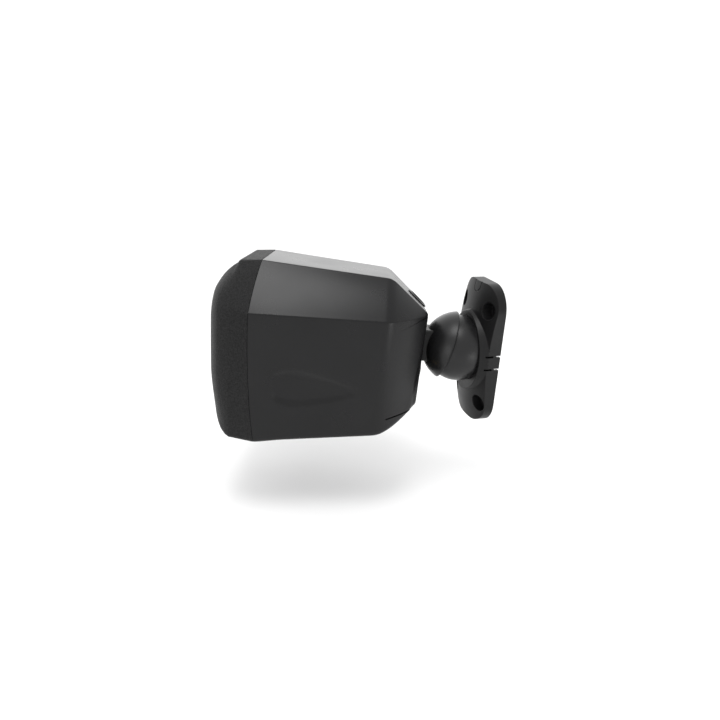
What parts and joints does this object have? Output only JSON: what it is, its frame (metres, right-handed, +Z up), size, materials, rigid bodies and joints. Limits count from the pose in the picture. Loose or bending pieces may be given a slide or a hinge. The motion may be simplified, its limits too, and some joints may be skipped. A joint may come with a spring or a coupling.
{
  "type": "wall-mount loudspeaker",
  "caption": "Compact two-way loudspeaker in a six-sided tapered cabinet, clamped on a ball-joint bracket that screws to a wall and lets it pan, tilt and roll.",
  "frame": {"origin": "centre of the wall bracket's four-hole pattern, on the plane of the wall", "axes": "+X to the right as seen from the room, +Y into the wall, +Z up; the loudspeaker hangs towards -Y, turned on its ball joint"},
  "size_m": [0.1581, 0.2383, 0.1555],
  "materials": {
    "wall_plate": "moulded, fine matt texture",
    "ball_boss": "moulded, satin",
    "boss_screws": "zinc plated",
    "pressure_cup": "die cast",
    "swivel_washer": "die cast",
    "clamp_bolt": "zinc plated",
    "clamp_nut": "zinc plated",
    "socket_dome": "moulded, satin",
    "neck_block": "moulded, satin",
    "neck_screws": "zinc plated",
    "enclosure_shell": "moulded, smooth satin",
    "rear_cover": "moulded, smooth satin",
    "port_flare": "moulded",
    "port_tube": "moulded",
    "front_baffle": "moulded",
    "grille_frame": "moulded",
    "grille_mesh": "perforated steel, matt black powder coat",
    "woofer_basket": "black pressed steel",
    "woofer_top_plate": "zinc plated",
    "woofer_magnet": "ferrite",
    "woofer_pole_piece": "zinc plated",
    "woofer_surround": "butyl rubber",
    "woofer_spider": "resin-dipped cloth",
    "woofer_gasket": "foam rubber",
    "woofer_screws": "black zinc",
    "tweeter_post": "turned",
    "tweeter_housing": "moulded",
    "tweeter_magnet": "nickel plated neodymium",
    "tweeter_faceplate": "moulded",
    "crossover_board": "circuit board",
    "crossover_coil": "enamelled copper wire",
    "crossover_capacitors": "sleeved cans",
    "crossover_resistor": "ceramic",
    "transformer_core": "laminated steel",
    "transformer_winding": "taped copper winding",
    "transformer_bracket": "zinc plated",
    "tap_switch": "moulded",
    "terminal_block": "moulded",
    "terminal_screws": "nickel plated",
    "safety_insert": "threaded insert",
    "damping_pad": "polyester wadding",
    "voice_coil_former": "foil",
    "voice_coil_winding": "enamelled copper wire",
    "woofer_cone": "polypropylene",
    "tweeter_dome": "treated silk",
    "tap_selector_knob": "moulded"
  },
  "bodies": {
    "bracket": {"wall_plate": "wall_plate", "ball_boss": "ball_boss", "boss_screws": "boss_screws"},
    "pan_cup": {"pressure_cup": "pressure_cup"},
    "tilt_washer": {"swivel_washer": "swivel_washer"},
    "speaker": {"clamp_bolt": "clamp_bolt", "clamp_nut": "clamp_nut", "socket_dome": "socket_dome", "neck_block": "neck_block", "neck_screws": "neck_screws", "enclosure_shell": "enclosure_shell", "rear_cover": "rear_cover", "port_flare": "port_flare", "port_tube": "port_tube", "front_baffle": "front_baffle", "grille_frame": "grille_frame", "grille_mesh": "grille_mesh", "woofer_basket": "woofer_basket", "woofer_top_plate": "woofer_top_plate", "woofer_magnet": "woofer_magnet", "woofer_pole_piece": "woofer_pole_piece", "woofer_surround": "woofer_surround", "woofer_spider": "woofer_spider", "woofer_gasket": "woofer_gasket", "woofer_screws": "woofer_screws", "tweeter_post": "tweeter_post", "tweeter_housing": "tweeter_housing", "tweeter_magnet": "tweeter_magnet", "tweeter_faceplate": "tweeter_faceplate", "crossover_board": "crossover_board", "crossover_coil": "crossover_coil", "crossover_capacitors": "crossover_capacitors", "crossover_resistor": "crossover_resistor", "transformer_core": "transformer_core", "transformer_winding": "transformer_winding", "transformer_bracket": "transformer_bracket", "tap_switch": "tap_switch", "terminal_block": "terminal_block", "terminal_screws": "terminal_screws", "safety_insert": "safety_insert", "damping_pad": "damping_pad"},
    "cone": {"voice_coil_former": "voice_coil_former", "voice_coil_winding": "voice_coil_winding", "woofer_cone": "woofer_cone"},
    "treble_dome": {"tweeter_dome": "tweeter_dome"},
    "tap_selector": {"tap_selector_knob": "tap_selector_knob"}
  },
  "joints": [
    {"name": "pan", "type": "hinge", "parent": "bracket", "child": "pan_cup", "pos_m": [0, -0.0248, 0.0025], "axis": [0, 0, 1], "range_deg": [-9.5, 40.5]},
    {"name": "tilt", "type": "hinge", "parent": "pan_cup", "child": "tilt_washer", "pos_m": [0, -0.0248, 0.0025], "axis": [0.9636, -0.2672, 0], "range_deg": [-0.2, 31.8]},
    {"name": "roll", "type": "hinge", "parent": "tilt_washer", "child": "speaker", "pos_m": [0, -0.0248, 0.0025], "axis": [0.2571, 0.9272, -0.2723], "range_deg": [-20, 30]},
    {"name": "tap_turn", "type": "hinge", "parent": "speaker", "child": "tap_selector", "pos_m": [-0.00717, -0.05957, -0.01698], "axis": [0.25, 0.9657, -0.0704], "range_deg": [-120, 120]},
    {"name": "cone_excursion", "type": "slide", "parent": "speaker", "child": "cone", "axis": [-0.25, -0.9657, 0.0704], "range_m": [-0.003, 0.003], "stiffness_N_per_m": 1200, "deforming": ["woofer_surround", "woofer_spider"]},
    {"name": "treble_excursion", "type": "slide", "parent": "speaker", "child": "treble_dome", "axis": [-0.25, -0.9657, 0.0704], "range_m": [0, 0.0003], "stiffness_N_per_m": 3000}
  ]
}
